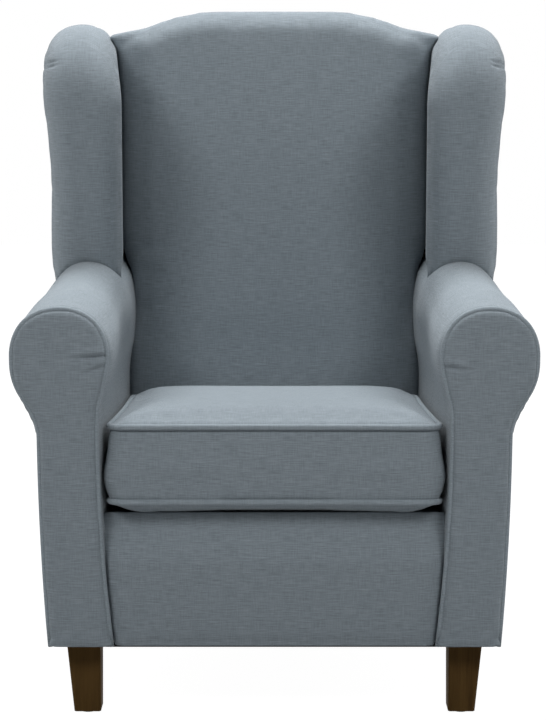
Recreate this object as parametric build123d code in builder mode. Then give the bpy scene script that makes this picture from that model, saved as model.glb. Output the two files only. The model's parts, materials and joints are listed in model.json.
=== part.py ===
from build123d import *
import os
from math import cos, radians, sin, tan

# Wingback armchair: rolled arms, upright padded wings, a serpentine back, a loose box cushion
# and four tapered wooden legs, upholstered over a jointed wooden frame with elastic webbing.
# The front faces -Y, +Z is up, and the origin is on the floor under the middle of the chair.
# Left and right are as seen from the front. Right-hand pieces are drawn, left-hand ones mirrored.

# Overall sizes, in millimetres and degrees
OVERALL_WIDTH = 772.0
OVERALL_HEIGHT = 1060.0
OVERALL_DEPTH = 800.0
BASE_HEIGHT = 110.0  # floor to the underside of the frame
BACK_RECLINE = 10.0
SEAT_PITCH = 5.0

# Fits
SOFT_GAP = 0.4  # between a pad and what it is fitted round or laid on
HOLE_GAP = 0.15  # round a bolt, an insert or a cord, on the radius

# Arms: a roll over a stem, wider at the front than where the wing stands on it
ARM_WIDTH = 136.0  # across the front roll
ARM_NECK_INSET = 7.0  # of the stem's inner side beside the cushion, from the roll's
ARM_FOOT_OUTSET = 11.5  # of the stem's inner side at the floor end, towards the cushion
ARM_TOP_FRONT = 618.0
ARM_TOP_WING = 644.0
ARM_NECK_HEIGHT = 440.0
ARM_NECK_OUTER_HEIGHT = 408.0
FACING_NECK_OUTER_HEIGHT = 428.0  # the facing is cut in above the arm's own neck
ARM_UNDERCUT_FRONT = 538.0  # where the front roll turns in to the stem
ARM_UNDERCUT_WING = 532.0
FACING_THICKNESS = 14.0
FACING_EDGE = 5.0  # rounding of the facing's front edge
PIPING_RADIUS = 4.0

# Outside panels: one flat sheet each side, leaning out a little towards the top
OUTSIDE_INSET = 49.0  # of the outside face at the frame's underside, from the roll's widest point
OUTSIDE_LEAN = 2.0
PANEL_THICKNESS = 5.0

# Wings
WING_OVERHANG = 0.5  # of the wing's nose past the inner side of the roll
WING_SPLAY = 2.5  # degrees by which the inner faces open towards the back
WING_NOSE_LOW = -45.0  # Y of the nose where it stands on the arm
WING_NOSE_HIGH = -72.0  # Y of the nose at the top
WING_TOP = 1032.0
WING_CORNER = 135.0  # side-view radius between nose and top
WING_ROUNDING = 48.0  # roundness of the padded nose and top
WING_TUCK = 34.0  # how far the wing's foot comes down round the arm

# Back
BACK_PAD = 105.0  # webbing to the crown of the pad
BACK_SHOULDER = 1015.0  # where the serpentine of the crest levels out
BACK_CREST_FLAT = 180.0  # level length in the middle of the crest
BACK_CREST_REACH = 35.0  # how far behind the wings the serpentine runs on
BACK_CROWN_SIDE = 16.0  # how far the pad's front falls back at its sides
BACK_CROWN_UP = 14.0  # how far it falls back at its top and bottom
BACK_EDGE = 38.0  # rounding of the pad's front edge
BACK_CAP = 32.0  # padding over the crest rail
BACK_PANEL_DROP = 9.0  # how far the outside back stays below the padding

# Wooden frame
FRAME_INSET = 90.0  # of the posts' and side rails' inner faces, from the roll's widest point
RAIL_THICKNESS = 30.0
SIDE_RAIL_THICKNESS = 24.0
POST_WIDTH = 28.0
POST_DEPTH = 45.0
POST_TOP = 960.0
CREST_HEIGHT = 62.0  # at its ends
TACK_RAIL_HEIGHT = 60.0
TACK_RAIL_BASE = 330.0
ARM_BOARD_THICKNESS = 18.0
ARM_BOARD_INSET = 16.0  # from the arm's padded outline
ARM_BOARD_COVER = 7.0  # padding in front of it
ARM_RAIL_WIDTH = 46.0
ARM_RAIL_HEIGHT = 22.0
ARM_RAIL_TOP = 572.0
WING_BOARD_THICKNESS = 16.0
WING_BOARD_INSET = 46.0  # padding round its nose and top
CORNER_BLOCK = 70.0
CORNER_BLOCK_HEIGHT = 60.0

# Webbing
STRAP_WIDTH = 60.0
STRAP_THICKNESS = 2.0
STRAP_GAP = 0.2  # between two straps where they cross
SEAT_STRAPS_LENGTHWISE = 5
SEAT_STRAPS_CROSSWISE = 4
BACK_STRAPS = 5
STRAP_CLEAR = 8.0  # between a back strap and the arm rails, which pass between the first two

# Seat deck and apron
DECK_FRONT_HEIGHT = 311.0  # top of the deck, at the front plane of the chair
DECK_THICKNESS = 30.0
APRON_TOP = 300.0
APRON_SETBACK = 15.0  # behind the front of the facings
APRON_EDGE = 9.0

# Loose cushion
CUSHION_SIDE_GAP = 4.5  # seam to arm roll
CUSHION_REAR_GAP = 6.5  # lower rear seam to the back pad
CUSHION_SETBACK = 4.5  # seams behind the front of the facings
CUSHION_CORNER = 26.0
CUSHION_DRAW_IN = 1.4  # degrees by which each side bows in between its corners
CUSHION_BOXING = 111.0  # seam to seam
CUSHION_UNDER = 21.0  # crown below the lower seam
CUSHION_CROWN = 23.0  # crown above the upper seam
CUSHION_BULGE = 3.0  # of the boxing, between the seams
CUSHION_PIPING_RADIUS = 4.5
CUSHION_PIPING_INSET = 1.2  # middle of the cord, inside the line of the seam
FOAM_INSET = 26.0  # fibre wrap between the cover and the foam core
ZIP_INSET = 54.0  # of each end, from the seams at the cushion's sides
ZIP_WIDTH = 16.0
ZIP_THICKNESS = 3.0

# Legs
LEG_TOP = 50.0
LEG_FOOT = 40.0
LEG_FOOT_SHIFT = 4.0  # of the foot towards the middle of the chair
LEG_EDGE = 2.5
LEG_INSET = 100.0  # of the legs' centres, from the roll's widest point
DUST_COVER_THICKNESS = 1.5
GLIDE_RADIUS = 14.0
GLIDE_THICKNESS = 3.0
BOLT_RADIUS = 4.0
BOLT_IN_LEG = 62.0
BOLT_IN_RAIL = 24.0
INSERT_RADIUS = 7.0
INSERT_LENGTH = 26.0

# Planes and heights that several pieces share
HALF = OVERALL_WIDTH / 2
ARM_THROAT = OVERALL_WIDTH - 2 * ARM_WIDTH  # between the two rolls, above the cushion
WING_THROAT = ARM_THROAT - 2 * WING_OVERHANG  # between the two wing noses
FRONT_Y = -OVERALL_DEPTH / 2
REAR_Y = OVERALL_DEPTH / 2
FRAME_HALF = HALF - FRAME_INSET
FRAME_INSIDE = 2 * FRAME_HALF  # between the posts, and between the side rails
RECLINE = radians(BACK_RECLINE)
PITCH = radians(SEAT_PITCH)
LEAN = radians(OUTSIDE_LEAN)
SPLAY = radians(WING_SPLAY)
FRAME_FRONT = BACK_PAD  # depths behind the crown of the back pad
FRAME_REAR = FRAME_FRONT + POST_DEPTH
BACK_DEPTH = FRAME_REAR + PANEL_THICKNESS
BACK_FALL = (FRAME_REAR - BACK_EDGE) * sin(RECLINE)  # of the back's top, from its crown to its rear
PANEL_TOP = OVERALL_HEIGHT - BACK_FALL - BACK_PANEL_DROP
ARM_FRONT_Y = FRONT_Y + FACING_THICKNESS
BOARD_FRONT_Y = ARM_FRONT_Y + ARM_BOARD_COVER
FRAME_FRONT_Y = BOARD_FRONT_Y + ARM_BOARD_THICKNESS
ARM_WING_Y = WING_NOSE_LOW
WING_BOTTOM = ARM_TOP_WING - WING_TUCK
STRAP_LAYER = STRAP_THICKNESS + STRAP_GAP  # from one strap to the strap that it crosses
STRAP_ZONE = DECK_THICKNESS + 1.5 * STRAP_THICKNESS + STRAP_GAP + SOFT_GAP  # deck top to strap middle
LEG_TOP_HEIGHT = BASE_HEIGHT - DUST_COVER_THICKNESS
FAR = 2 * OVERALL_HEIGHT  # reach of a cutting shape past the chair

seat_plane = Plane((0, FRONT_Y, DECK_FRONT_HEIGHT), x_dir=(1, 0, 0), z_dir=(0, sin(PITCH), cos(PITCH)))


def back_y(depth, height):
    """Y of the reclined plane that lies depth behind the crown of the back pad, at a height."""
    return REAR_Y - (PANEL_TOP - height) * tan(RECLINE) - (BACK_DEPTH - depth) / cos(RECLINE)


def back_plane(depth):
    """That plane, facing forward. Its own Y runs up the back."""
    front = Plane((0, back_y(0, 0), 0), x_dir=(1, 0, 0), z_dir=(0, -cos(RECLINE), sin(RECLINE)))
    return front.offset(-depth)


def up_back(height, depth):
    """Distance up the back at which the plane at a depth reaches a height."""
    return (height + depth * sin(RECLINE)) / cos(RECLINE)


def seat_height(along, below=0.0):
    """Height of the deck's top, or of a plane below it, at a Y."""
    return DECK_FRONT_HEIGHT - (along - FRONT_Y) * tan(PITCH) - below / cos(PITCH)


def outside_x(height):
    """X of the right outside face at a height."""
    return HALF - OUTSIDE_INSET + (height - BASE_HEIGHT) * tan(LEAN)


def outside_plane():
    """The right outside face, with its own X along the chair's Y and its own Y running upwards."""
    return Plane((outside_x(0), 0, 0), x_dir=(0, 1, 0), z_dir=(cos(LEAN), 0, -sin(LEAN)))


def wing_inner_plane(gap=0.0):
    """Inner face of the right wing, facing the sitter, moved towards the sitter by a gap."""
    facing = Vector(-cos(SPLAY), sin(SPLAY), 0)
    return Plane(Vector(WING_THROAT / 2, WING_NOSE_LOW, 0) + facing * gap, x_dir=(0, 0, 1), z_dir=facing)


def upright_s(low, high):
    """Two equal arcs from a low point to a high one, upright at both ends."""
    middle = ((low[0] + high[0]) / 2, (low[1] + high[1]) / 2)
    TangentArc(low, middle, tangent=(0, 1))
    TangentArc(high, middle, tangent=(0, -1))


def level_s(left, right):
    """Two equal arcs from one point to another on its right, level at both ends."""
    middle = ((left[0] + right[0]) / 2, (left[1] + right[1]) / 2)
    TangentArc(left, middle, tangent=(1, 0))
    TangentArc(right, middle, tangent=(-1, 0))


def arm_line(outer, top, roll_low, inset=0.0, neck=ARM_NECK_OUTER_HEIGHT):
    """Outline of the right arm, from its inner foot over the roll to its outer foot. Returns both feet."""
    inner = ARM_THROAT / 2 + inset
    outer = outer - inset
    shoulder = top - inset - (outer - inner) / 2
    crest = ((inner + outer) / 2, top - inset)
    neck_in = (inner + ARM_NECK_INSET, ARM_NECK_HEIGHT)
    neck_out = (outside_x(neck) - inset, neck)
    foot_in = (inner - ARM_FOOT_OUTSET, BASE_HEIGHT)
    foot_out = (outside_x(BASE_HEIGHT) - inset, BASE_HEIGHT)
    TangentArc(neck_in, foot_in, tangent=(0, -1))
    upright_s(neck_in, (inner, roll_low))
    Line((inner, roll_low), (inner, shoulder))
    TangentArc((inner, shoulder), crest, tangent=(0, 1))
    TangentArc((outer, shoulder), crest, tangent=(0, 1))
    Line((outer, shoulder), (outer, roll_low))
    upright_s(neck_out, (outer, roll_low))
    TangentArc(neck_out, foot_out, tangent=(0, -1))
    return foot_in, foot_out


def arm_sketch(y, outer, top, roll_low, inset=0.0, neck=ARM_NECK_OUTER_HEIGHT):
    """The arm's section at a Y, filled."""
    with BuildSketch(Plane.XZ.offset(-y)) as section:
        with BuildLine():
            foot_in, foot_out = arm_line(outer, top, roll_low, inset, neck)
            Line(foot_in, foot_out)
        make_face()
    return section.sketch


def arm_form(gap=0.0):
    """Whole padded arm, from its front to the plane of the outside back, grown sideways by a gap."""
    wing_outer = outside_x(ARM_UNDERCUT_WING)
    front = arm_sketch(ARM_FRONT_Y, HALF, ARM_TOP_FRONT, ARM_UNDERCUT_FRONT, -gap)
    under_wing = arm_sketch(ARM_WING_Y, wing_outer, ARM_TOP_WING, ARM_UNDERCUT_WING, -gap)
    with BuildPart() as form:
        loft([front, under_wing], ruled=True)
        extrude(under_wing, amount=REAR_Y - ARM_WING_Y, dir=(0, 1, 0))
        split(bisect_by=back_plane(FRAME_REAR), keep=Keep.TOP)
    return form.part


def wing_sketch(plane, inset=0.0, bottom=WING_BOTTOM):
    """Side view of a wing on a plane whose own X is the chair's Y, drawn in by an inset at nose and top."""
    top = WING_TOP - inset
    nose_slope = (WING_NOSE_HIGH - WING_NOSE_LOW) / (WING_TOP - WING_BOTTOM)
    nose_low = WING_NOSE_LOW + inset + (bottom - WING_BOTTOM) * nose_slope
    nose_high = WING_NOSE_LOW + inset + (top - WING_BOTTOM) * nose_slope
    with BuildSketch(plane) as section:
        with BuildLine():
            Polyline(
                (nose_low, bottom),
                (nose_high, top),
                (back_y(FRAME_REAR, top), top),
                (back_y(FRAME_REAR, bottom), bottom),
                close=True,
            )
        make_face()
        corner = section.vertices().sort_by(Axis.Y)[-2:].sort_by(Axis.X)[0]
        fillet(corner, radius=WING_CORNER - inset)
    return section.sketch


def save(piece, label):
    """Name a piece and write it to its own file."""
    piece.label = label
    export_step(piece, f"parts/{label}.step")


def save_pair(piece, label):
    """Write a right-hand piece and its mirror image."""
    save(piece, f"right_{label}")
    with BuildPart() as opposite:
        mirror(piece, about=Plane.YZ)
    save(opposite.part, f"left_{label}")


os.makedirs("parts", exist_ok=True)

# Seat rails: solid beech, butted and glued, their tops cut to the slope of the seat
rail_top = STRAP_ZONE + STRAP_LAYER + STRAP_THICKNESS / 2
side_rail_top = STRAP_ZONE + STRAP_THICKNESS / 2
rear_rail_front = FRAME_REAR - RAIL_THICKNESS
front_rail_back_y = FRAME_FRONT_Y + RAIL_THICKNESS

with BuildPart() as front_seat_rail:
    with BuildSketch(Plane.YZ.offset(-FRAME_HALF)):
        with BuildLine():
            Polyline(
                (FRAME_FRONT_Y, BASE_HEIGHT),
                (front_rail_back_y, BASE_HEIGHT),
                (front_rail_back_y, seat_height(front_rail_back_y, rail_top)),
                (FRAME_FRONT_Y, seat_height(FRAME_FRONT_Y, rail_top)),
                close=True,
            )
        make_face()
    extrude(amount=FRAME_INSIDE)

with BuildPart() as rear_seat_rail:
    with BuildSketch(Plane.YZ.offset(-FRAME_HALF)):
        with BuildLine():
            Polyline(
                (back_y(rear_rail_front, BASE_HEIGHT), BASE_HEIGHT),
                (back_y(FRAME_REAR, BASE_HEIGHT), BASE_HEIGHT),
                (back_y(FRAME_REAR, DECK_FRONT_HEIGHT), DECK_FRONT_HEIGHT),
                (back_y(rear_rail_front, DECK_FRONT_HEIGHT), DECK_FRONT_HEIGHT),
                close=True,
            )
        make_face()
    extrude(amount=FRAME_INSIDE)
    split(bisect_by=seat_plane.offset(-rail_top), keep=Keep.BOTTOM)

with BuildPart() as side_seat_rail:
    with BuildSketch(Plane.YZ.offset(FRAME_HALF)):
        with BuildLine():
            Polyline(
                (FRAME_FRONT_Y, BASE_HEIGHT),
                (back_y(FRAME_FRONT, BASE_HEIGHT), BASE_HEIGHT),
                (back_y(FRAME_FRONT, DECK_FRONT_HEIGHT), DECK_FRONT_HEIGHT),
                (FRAME_FRONT_Y, DECK_FRONT_HEIGHT),
                close=True,
            )
        make_face()
    extrude(amount=SIDE_RAIL_THICKNESS)
    split(bisect_by=seat_plane.offset(-side_rail_top), keep=Keep.BOTTOM)

# Corner blocks: glued into the four inside corners of the seat frame
with BuildPart() as corner_blocks:
    with BuildSketch(Plane.XY.offset(BASE_HEIGHT)):
        with BuildLine():
            Polyline(
                (FRAME_HALF, front_rail_back_y),
                (FRAME_HALF, front_rail_back_y + CORNER_BLOCK),
                (FRAME_HALF - CORNER_BLOCK, front_rail_back_y),
                close=True,
            )
        make_face()
    extrude(amount=CORNER_BLOCK_HEIGHT)
    rear_corner_y = back_y(rear_rail_front, BASE_HEIGHT)
    block_top_y = back_y(rear_rail_front, BASE_HEIGHT + CORNER_BLOCK_HEIGHT)
    with BuildSketch(Plane.XY.offset(BASE_HEIGHT)) as rear_block:
        with BuildLine():
            Polyline(
                (FRAME_HALF, block_top_y),
                (FRAME_HALF, rear_corner_y - CORNER_BLOCK),
                (FRAME_HALF - CORNER_BLOCK, rear_corner_y),
                (FRAME_HALF - CORNER_BLOCK, block_top_y),
                close=True,
            )
        make_face()
    extrude(amount=CORNER_BLOCK_HEIGHT)
    split(bisect_by=back_plane(rear_rail_front), keep=Keep.TOP)
    mirror(about=Plane.YZ)

# Back posts: straight reclined boards at the ends of the rear rail
with BuildPart() as back_post:
    with BuildSketch(Plane.YZ.offset(FRAME_HALF)):
        with BuildLine():
            Polyline(
                (back_y(FRAME_FRONT, BASE_HEIGHT), BASE_HEIGHT),
                (back_y(FRAME_REAR, BASE_HEIGHT), BASE_HEIGHT),
                (back_y(FRAME_REAR, POST_TOP), POST_TOP),
                (back_y(FRAME_FRONT, POST_TOP), POST_TOP),
                close=True,
            )
        make_face()
    extrude(amount=POST_WIDTH)

# Crest rail: sawn to the serpentine of the back, between the tops of the posts
crest_top = up_back(OVERALL_HEIGHT - BACK_CAP, FRAME_FRONT)
crest_end = up_back(POST_TOP, FRAME_FRONT)
crest_bottom = crest_end - CREST_HEIGHT
with BuildPart() as back_crest_rail:
    with BuildSketch(back_plane(FRAME_REAR)):
        with BuildLine():
            level_s((-FRAME_HALF, crest_end), (0, crest_top))
            level_s((0, crest_top), (FRAME_HALF, crest_end))
            Line((FRAME_HALF, crest_end), (FRAME_HALF, crest_bottom))
            Line((FRAME_HALF, crest_bottom), (-FRAME_HALF, crest_bottom))
            Line((-FRAME_HALF, crest_bottom), (-FRAME_HALF, crest_end))
        make_face()
    extrude(amount=POST_DEPTH)

# Tack rail: closes the back frame above the seat
with BuildPart() as back_tack_rail:
    with BuildSketch(back_plane(FRAME_FRONT + RAIL_THICKNESS)):
        with Locations((0, up_back(TACK_RAIL_BASE, FRAME_FRONT) + TACK_RAIL_HEIGHT / 2)):
            Rectangle(FRAME_INSIDE, TACK_RAIL_HEIGHT)
    extrude(amount=RAIL_THICKNESS)

# Arm boards: plywood scroll boards at the fronts of the arms
board_section = arm_sketch(BOARD_FRONT_Y, HALF, ARM_TOP_FRONT, ARM_UNDERCUT_FRONT, ARM_BOARD_INSET)
with BuildPart() as arm_board:
    extrude(board_section, amount=ARM_BOARD_THICKNESS, dir=(0, 1, 0))

# Arm rails: from the arm boards to the posts, inside the rolls
with BuildPart() as arm_rail:
    with BuildSketch(Plane.YZ.offset(FRAME_HALF)):
        with BuildLine():
            Polyline(
                (FRAME_FRONT_Y, ARM_RAIL_TOP - ARM_RAIL_HEIGHT),
                (FRAME_FRONT_Y, ARM_RAIL_TOP),
                (back_y(FRAME_FRONT, ARM_RAIL_TOP), ARM_RAIL_TOP),
                (back_y(FRAME_FRONT, ARM_RAIL_TOP - ARM_RAIL_HEIGHT), ARM_RAIL_TOP - ARM_RAIL_HEIGHT),
                close=True,
            )
        make_face()
    extrude(amount=ARM_RAIL_WIDTH)

# Wing boards: plywood, standing on the arm rails and screwed to the outsides of the posts
wing_board_inner = FRAME_HALF + POST_WIDTH
wing_board_section = wing_sketch(Plane.YZ.offset(wing_board_inner), WING_BOARD_INSET, ARM_RAIL_TOP)
with BuildPart() as wing_board:
    extrude(wing_board_section, amount=WING_BOARD_THICKNESS, dir=(1, 0, 0))

# Seat webbing: lengthwise straps woven over and under crosswise ones
strap_plane = seat_plane.offset(-STRAP_ZONE)
web_start = (front_rail_back_y - FRONT_Y + STRAP_ZONE * sin(PITCH)) / cos(PITCH)
rear_rail_height = seat_height(back_y(rear_rail_front, BASE_HEIGHT), rail_top)
web_end = (back_y(rear_rail_front, rear_rail_height) - FRONT_Y + STRAP_ZONE * sin(PITCH)) / cos(PITCH)
strap_hold = 0.9 * RAIL_THICKNESS  # length of strap stapled down on a rail
cross_pitch = (web_end - web_start) / SEAT_STRAPS_CROSSWISE
length_pitch = (ARM_THROAT - STRAP_WIDTH) / SEAT_STRAPS_LENGTHWISE
flat = STRAP_WIDTH / 2 + 4 * STRAP_THICKNESS  # half the level run of a strap over a crossing
with BuildPart() as seat_webbing:
    for j in range(SEAT_STRAPS_CROSSWISE):
        with BuildSketch(strap_plane.offset(-STRAP_THICKNESS / 2)):
            with Locations((0, web_start + (j + 0.5) * cross_pitch)):
                Rectangle(FRAME_INSIDE + 2 * SIDE_RAIL_THICKNESS, STRAP_WIDTH)
        extrude(amount=STRAP_THICKNESS)
    for k in range(SEAT_STRAPS_LENGTHWISE):
        x = (k - (SEAT_STRAPS_LENGTHWISE - 1) / 2) * length_pitch - STRAP_WIDTH / 2
        run = [(web_start - strap_hold, -STRAP_LAYER), (web_start, -STRAP_LAYER)]
        for j in range(SEAT_STRAPS_CROSSWISE):
            level = STRAP_LAYER if (j + k) % 2 else -STRAP_LAYER
            crossing = web_start + (j + 0.5) * cross_pitch
            run += [(crossing - flat, level), (crossing + flat, level)]
        run += [(web_end, -STRAP_LAYER), (web_end + strap_hold, -STRAP_LAYER)]
        upper = [(along, level + STRAP_THICKNESS / 2) for along, level in run]
        lower = [(along, level - STRAP_THICKNESS / 2) for along, level in reversed(run)]
        side_plane = Plane(strap_plane.from_local_coords((x, 0, 0)), x_dir=strap_plane.y_dir, z_dir=(1, 0, 0))
        with BuildSketch(side_plane):
            with BuildLine():
                Polyline(*upper, *lower, close=True)
            make_face()
        extrude(amount=STRAP_WIDTH)

# Back webbing: straps stapled across the fronts of the posts
rail_end_height = ARM_RAIL_HEIGHT / cos(RECLINE)
back_strap_pitch = STRAP_WIDTH + rail_end_height + 2 * STRAP_CLEAR
back_strap_base = up_back(ARM_RAIL_TOP, FRAME_FRONT) - rail_end_height - STRAP_CLEAR - STRAP_WIDTH / 2
with BuildPart() as back_webbing:
    for k in range(BACK_STRAPS):
        with BuildSketch(back_plane(FRAME_FRONT)):
            with Locations((0, back_strap_base + k * back_strap_pitch)):
                Rectangle(FRAME_INSIDE + 2 * POST_WIDTH, STRAP_WIDTH)
        extrude(amount=STRAP_THICKNESS)

# Legs: square, tapered to the foot and bolted up into the front and rear rails
leg_x = HALF - LEG_INSET
front_leg_y = FRAME_FRONT_Y + RAIL_THICKNESS / 2
rear_leg_y = back_y(FRAME_REAR - RAIL_THICKNESS / 2, BASE_HEIGHT)
leg_spots = [(leg_x, front_leg_y), (leg_x, rear_leg_y), (-leg_x, front_leg_y), (-leg_x, rear_leg_y)]


def leg(y):
    """Right-hand leg at a Y."""
    with BuildPart() as blank:
        with BuildSketch(Plane.XY.offset(LEG_TOP_HEIGHT)):
            with Locations((leg_x, y)):
                Rectangle(LEG_TOP, LEG_TOP)
        with BuildSketch(Plane.XY.offset(GLIDE_THICKNESS)):
            with Locations((leg_x - LEG_FOOT_SHIFT, y)):
                Rectangle(LEG_FOOT, LEG_FOOT)
        loft(ruled=True)
        chamfer(blank.edges().filter_by(lambda e: abs((e % 0.5).Z) > 0.5), length=LEG_EDGE)
        with Locations((leg_x, y, LEG_TOP_HEIGHT)):
            bore = BOLT_RADIUS + HOLE_GAP
            Cylinder(bore, BOLT_IN_LEG, align=(Align.CENTER, Align.CENTER, Align.MAX), mode=Mode.SUBTRACT)
    return blank.part


# Inserts and hanger bolts: threaded bushes in the rails, and the studs that hold the legs to them
with BuildPart() as leg_inserts:
    with BuildSketch(Plane.XY.offset(BASE_HEIGHT)):
        with Locations(*leg_spots):
            Circle(INSERT_RADIUS)
            Circle(BOLT_RADIUS + HOLE_GAP, mode=Mode.SUBTRACT)
    extrude(amount=INSERT_LENGTH)

with BuildPart() as leg_bolts:
    with BuildSketch(Plane.XY.offset(LEG_TOP_HEIGHT - BOLT_IN_LEG)):
        with Locations(*leg_spots):
            Circle(BOLT_RADIUS)
    extrude(amount=BOLT_IN_LEG + DUST_COVER_THICKNESS + BOLT_IN_RAIL)

with BuildPart() as insert_holes:
    with BuildSketch(Plane.XY.offset(BASE_HEIGHT)):
        with Locations(*leg_spots):
            Circle(INSERT_RADIUS + HOLE_GAP)
    extrude(amount=INSERT_LENGTH)

with BuildPart() as front_seat_rail_bored:
    add(front_seat_rail.part)
    add(insert_holes.part, mode=Mode.SUBTRACT)

with BuildPart() as rear_seat_rail_bored:
    add(rear_seat_rail.part)
    add(insert_holes.part, mode=Mode.SUBTRACT)

# Glides: plastic discs nailed under the legs
with BuildPart() as leg_glides:
    with BuildSketch(Plane.XY):
        for spot_x, spot_y in leg_spots:
            shift = LEG_FOOT_SHIFT if spot_x > 0 else -LEG_FOOT_SHIFT
            with Locations((spot_x - shift, spot_y)):
                Circle(GLIDE_RADIUS)
    extrude(amount=GLIDE_THICKNESS)

# Dust cover: black cloth stapled under the frame
with BuildPart() as dust_cover:
    cover_half = outside_x(BASE_HEIGHT) - 2 * PANEL_THICKNESS
    with BuildSketch(Plane.XY.offset(LEG_TOP_HEIGHT)):
        with BuildLine():
            Polyline(
                (-cover_half, ARM_FRONT_Y + PANEL_THICKNESS),
                (cover_half, ARM_FRONT_Y + PANEL_THICKNESS),
                (cover_half, back_y(FRAME_REAR, LEG_TOP_HEIGHT) - PANEL_THICKNESS),
                (-cover_half, back_y(FRAME_REAR, LEG_TOP_HEIGHT) - PANEL_THICKNESS),
                close=True,
            )
        make_face()
        with Locations(*leg_spots):
            Circle(BOLT_RADIUS + HOLE_GAP, mode=Mode.SUBTRACT)
    extrude(amount=DUST_COVER_THICKNESS)

# Outside panels: fabric over board, one flat sheet from the base up behind the arm roll and the wing
panel_front_y = ARM_FRONT_Y + PANEL_THICKNESS
panel_nose_y = WING_NOSE_LOW + WING_ROUNDING + PANEL_THICKNESS
panel_top = WING_TOP - WING_ROUNDING - PANEL_THICKNESS
with BuildSketch(outside_plane().offset(-PANEL_THICKNESS)) as panel_outline:
    with BuildLine():
        Polyline(
            (panel_front_y, BASE_HEIGHT / cos(LEAN)),
            (panel_front_y, ARM_NECK_OUTER_HEIGHT / cos(LEAN)),
            (panel_nose_y, ARM_NECK_OUTER_HEIGHT / cos(LEAN)),
            (panel_nose_y, panel_top / cos(LEAN)),
            (back_y(FRAME_REAR, panel_top), panel_top / cos(LEAN)),
            (back_y(FRAME_REAR, BASE_HEIGHT), BASE_HEIGHT / cos(LEAN)),
            close=True,
        )
    make_face()
    panel_corner = panel_outline.vertices().sort_by(Axis.Y)[-2:].sort_by(Axis.X)[0]
    fillet(panel_corner, radius=WING_CORNER - WING_ROUNDING)

with BuildPart() as outside_panel:
    extrude(panel_outline.sketch, amount=PANEL_THICKNESS)

with BuildPart() as panel_room:
    extrude(panel_outline.sketch, amount=WING_ROUNDING)

# Spaces that the padding leaves free: round the back frame, and under the seat
zone_front = FRAME_FRONT - STRAP_THICKNESS - SOFT_GAP
zone_top = POST_TOP + 3 * SOFT_GAP
zone_outer = FRAME_HALF + POST_WIDTH + SOFT_GAP
with BuildPart() as frame_zone:
    with BuildSketch(Plane.YZ.offset(-zone_outer)):
        with BuildLine():
            Polyline(
                (back_y(zone_front, 0), 0),
                (back_y(zone_front, zone_top), zone_top),
                (back_y(BACK_DEPTH, zone_top), zone_top),
                (back_y(BACK_DEPTH, 0), 0),
                close=True,
            )
        make_face()
    extrude(amount=2 * zone_outer)

under_seat_half = FRAME_HALF + SIDE_RAIL_THICKNESS + SOFT_GAP
with BuildPart() as under_seat:
    with BuildSketch(Plane.YZ.offset(-under_seat_half)):
        with BuildLine():
            Polyline(
                (FRAME_FRONT_Y - SOFT_GAP, 0),
                (FRAME_FRONT_Y - SOFT_GAP, seat_height(FRAME_FRONT_Y, DECK_THICKNESS)),
                (REAR_Y, seat_height(REAR_Y, DECK_THICKNESS)),
                (REAR_Y, 0),
                close=True,
            )
        make_face()
    extrude(amount=2 * under_seat_half)

arm_room = arm_form(SOFT_GAP)  # the arm and its clearance
board_room_section = arm_sketch(
    BOARD_FRONT_Y - SOFT_GAP, HALF, ARM_TOP_FRONT, ARM_UNDERCUT_FRONT, ARM_BOARD_INSET - SOFT_GAP
)
wing_board_room_section = wing_sketch(
    Plane.YZ.offset(wing_board_inner - SOFT_GAP), WING_BOARD_INSET - SOFT_GAP, ARM_RAIL_TOP - SOFT_GAP
)
with BuildPart() as arm_boards_room:
    extrude(board_room_section, amount=ARM_BOARD_THICKNESS + 2 * SOFT_GAP, dir=(0, 1, 0))
    extrude(wing_board_room_section, amount=WING_BOARD_THICKNESS + 2 * SOFT_GAP, dir=(1, 0, 0))
    with BuildSketch(Plane.XZ.offset(-FRAME_FRONT_Y)):
        with Locations((FRAME_HALF + ARM_RAIL_WIDTH / 2, ARM_RAIL_TOP - ARM_RAIL_HEIGHT / 2)):
            Rectangle(ARM_RAIL_WIDTH + 2 * SOFT_GAP, ARM_RAIL_HEIGHT + 2 * SOFT_GAP)
    extrude(amount=-(back_y(FRAME_FRONT, ARM_RAIL_TOP) - FRAME_FRONT_Y))

# Arm pads: foam and fabric over the arm frame
with BuildPart() as arm_pad:
    add(arm_form())
    add(under_seat.part, mode=Mode.SUBTRACT)
    add(frame_zone.part, mode=Mode.SUBTRACT)
    add(arm_boards_room.part, mode=Mode.SUBTRACT)
    add(panel_room.part, mode=Mode.SUBTRACT)

# Arm facings: scroll-shaped front panels, with piping sewn into the seam round them
facing_inset = 2.5 * PIPING_RADIUS  # clears the cord where the outline slants
facing_section = arm_sketch(
    FRONT_Y, HALF, ARM_TOP_FRONT, ARM_UNDERCUT_FRONT, facing_inset, FACING_NECK_OUTER_HEIGHT
)
with BuildPart() as arm_facing:
    extrude(facing_section, amount=FACING_THICKNESS, dir=(0, 1, 0))
    facing_front = arm_facing.faces().sort_by(Axis.Y)[0]
    fillet(facing_front.edges().sort_by(Axis.Z)[1:], radius=FACING_EDGE)

piping_y = ARM_FRONT_Y - PIPING_RADIUS - HOLE_GAP
with BuildLine() as facing_outline:
    arm_line(HALF, ARM_TOP_FRONT, ARM_UNDERCUT_FRONT, PIPING_RADIUS, FACING_NECK_OUTER_HEIGHT)
facing_seam = Plane.XZ.offset(-piping_y) * facing_outline.wire()
with BuildPart() as facing_piping:
    with BuildSketch(Plane(facing_seam @ 0, z_dir=facing_seam % 0)):
        Circle(PIPING_RADIUS)
    sweep(path=facing_seam)

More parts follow.
